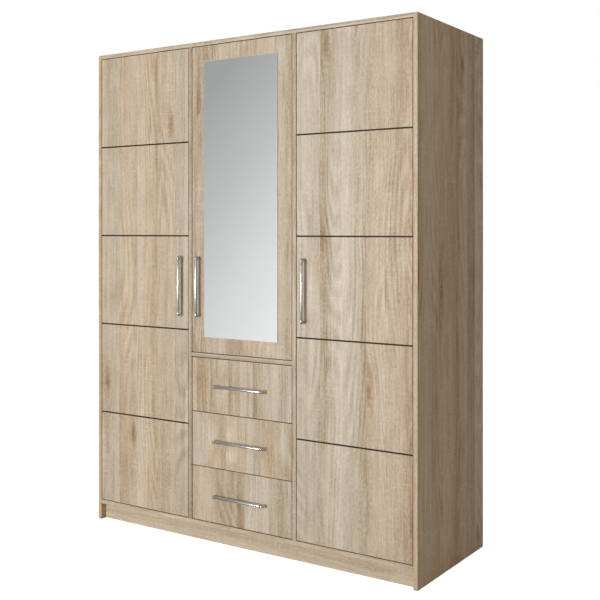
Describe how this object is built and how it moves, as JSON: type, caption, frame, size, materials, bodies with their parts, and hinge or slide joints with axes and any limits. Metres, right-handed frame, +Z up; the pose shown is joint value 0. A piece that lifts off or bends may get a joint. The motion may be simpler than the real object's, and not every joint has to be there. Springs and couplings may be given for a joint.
{
  "type": "wardrobe",
  "caption": "Free-standing three-column wardrobe in pale oak laminate: tall door each side with dark inlaid strips, mirror door above drawers in the middle, bar handles, recessed plinth.",
  "frame": {"origin": "on the floor, under the middle of the outer box, which the handles lengthen at the front", "axes": "+Z up, the doors and drawers face -Y, +X to the right of a person facing the doors"},
  "size_m": [1.5, 0.628, 2],
  "materials": {
    "oak_laminate": "matt laminate printed with pale, limed, vertically grained oak",
    "plinth_laminate": "the same oak laminate, warmer, with its grain lying along the plinth",
    "hardboard": "thin hardboard with a pale oak-coloured lacquer",
    "dark_strip": "matt dark wenge-brown strip",
    "mirror_silver": "silvered float glass with ground edges",
    "satin_steel": "satin, brushed around the bar",
    "handle_caps": "satin nickel casting",
    "hinge_steel": "nickel-plated pressed steel",
    "runner_enamel": "white enamelled steel with white rollers",
    "chrome_tube": "polished chrome",
    "nickel": "nickel-plated zinc casting"
  },
  "bodies": {
    "carcass": {"left_side": "oak_laminate", "right_side": "oak_laminate", "left_divider": "oak_laminate", "right_divider": "oak_laminate", "top_panel": "oak_laminate", "bottom_panel": "oak_laminate", "front_plinth": "plinth_laminate", "rear_plinth": "plinth_laminate", "left_back": "hardboard", "middle_back": "hardboard", "right_back": "hardboard", "drawer_shelf": "oak_laminate", "hat_shelf": "oak_laminate", "middle_lower_shelf": "oak_laminate", "middle_upper_shelf": "oak_laminate", "right_lower_shelf": "oak_laminate", "right_middle_shelf": "oak_laminate", "right_upper_shelf": "oak_laminate", "shelf_pins": "nickel", "hanging_rail": "chrome_tube", "rail_sockets": "nickel", "hinge_plates": "hinge_steel", "hinge_arms": "hinge_steel", "cabinet_runners": "runner_enamel"},
    "left_door": {"left_door_panel": "oak_laminate", "left_door_strips": "dark_strip", "left_door_handle_bar": "satin_steel", "left_door_handle_posts": "handle_caps", "left_door_hinge_cups": "hinge_steel"},
    "mirror_door": {"mirror_door_panel": "oak_laminate", "mirror_glass": "mirror_silver", "mirror_door_handle_bar": "satin_steel", "mirror_door_handle_posts": "handle_caps", "mirror_door_hinge_cups": "hinge_steel"},
    "right_door": {"right_door_panel": "oak_laminate", "right_door_strips": "dark_strip", "right_door_handle_bar": "satin_steel", "right_door_handle_posts": "handle_caps", "right_door_hinge_cups": "hinge_steel"},
    "bottom_drawer": {"bottom_drawer_front": "oak_laminate", "bottom_drawer_sides": "oak_laminate", "bottom_drawer_back": "oak_laminate", "bottom_drawer_base": "hardboard", "bottom_drawer_runners": "runner_enamel", "bottom_drawer_handle_bar": "satin_steel", "bottom_drawer_handle_posts": "handle_caps"},
    "middle_drawer": {"middle_drawer_front": "oak_laminate", "middle_drawer_sides": "oak_laminate", "middle_drawer_back": "oak_laminate", "middle_drawer_base": "hardboard", "middle_drawer_runners": "runner_enamel", "middle_drawer_handle_bar": "satin_steel", "middle_drawer_handle_posts": "handle_caps"},
    "top_drawer": {"top_drawer_front": "oak_laminate", "top_drawer_sides": "oak_laminate", "top_drawer_back": "oak_laminate", "top_drawer_base": "hardboard", "top_drawer_runners": "runner_enamel", "top_drawer_handle_bar": "satin_steel", "top_drawer_handle_posts": "handle_caps"}
  },
  "joints": [
    {"name": "left_door_hinge", "type": "hinge", "parent": "carcass", "child": "left_door", "pos_m": [-0.731, -0.285, 1], "axis": [0, 0, -1], "range_deg": [0, 100]},
    {"name": "mirror_door_hinge", "type": "hinge", "parent": "carcass", "child": "mirror_door", "pos_m": [0.23633, -0.285, 1], "axis": [0, 0, 1], "range_deg": [0, 100]},
    {"name": "right_door_hinge", "type": "hinge", "parent": "carcass", "child": "right_door", "pos_m": [0.731, -0.285, 1], "axis": [0, 0, 1], "range_deg": [0, 100]},
    {"name": "bottom_drawer_slide", "type": "slide", "parent": "carcass", "child": "bottom_drawer", "axis": [0, -1, 0], "range_m": [0, 0.375]},
    {"name": "middle_drawer_slide", "type": "slide", "parent": "carcass", "child": "middle_drawer", "axis": [0, -1, 0], "range_m": [0, 0.375]},
    {"name": "top_drawer_slide", "type": "slide", "parent": "carcass", "child": "top_drawer", "axis": [0, -1, 0], "range_m": [0, 0.375]}
  ]
}
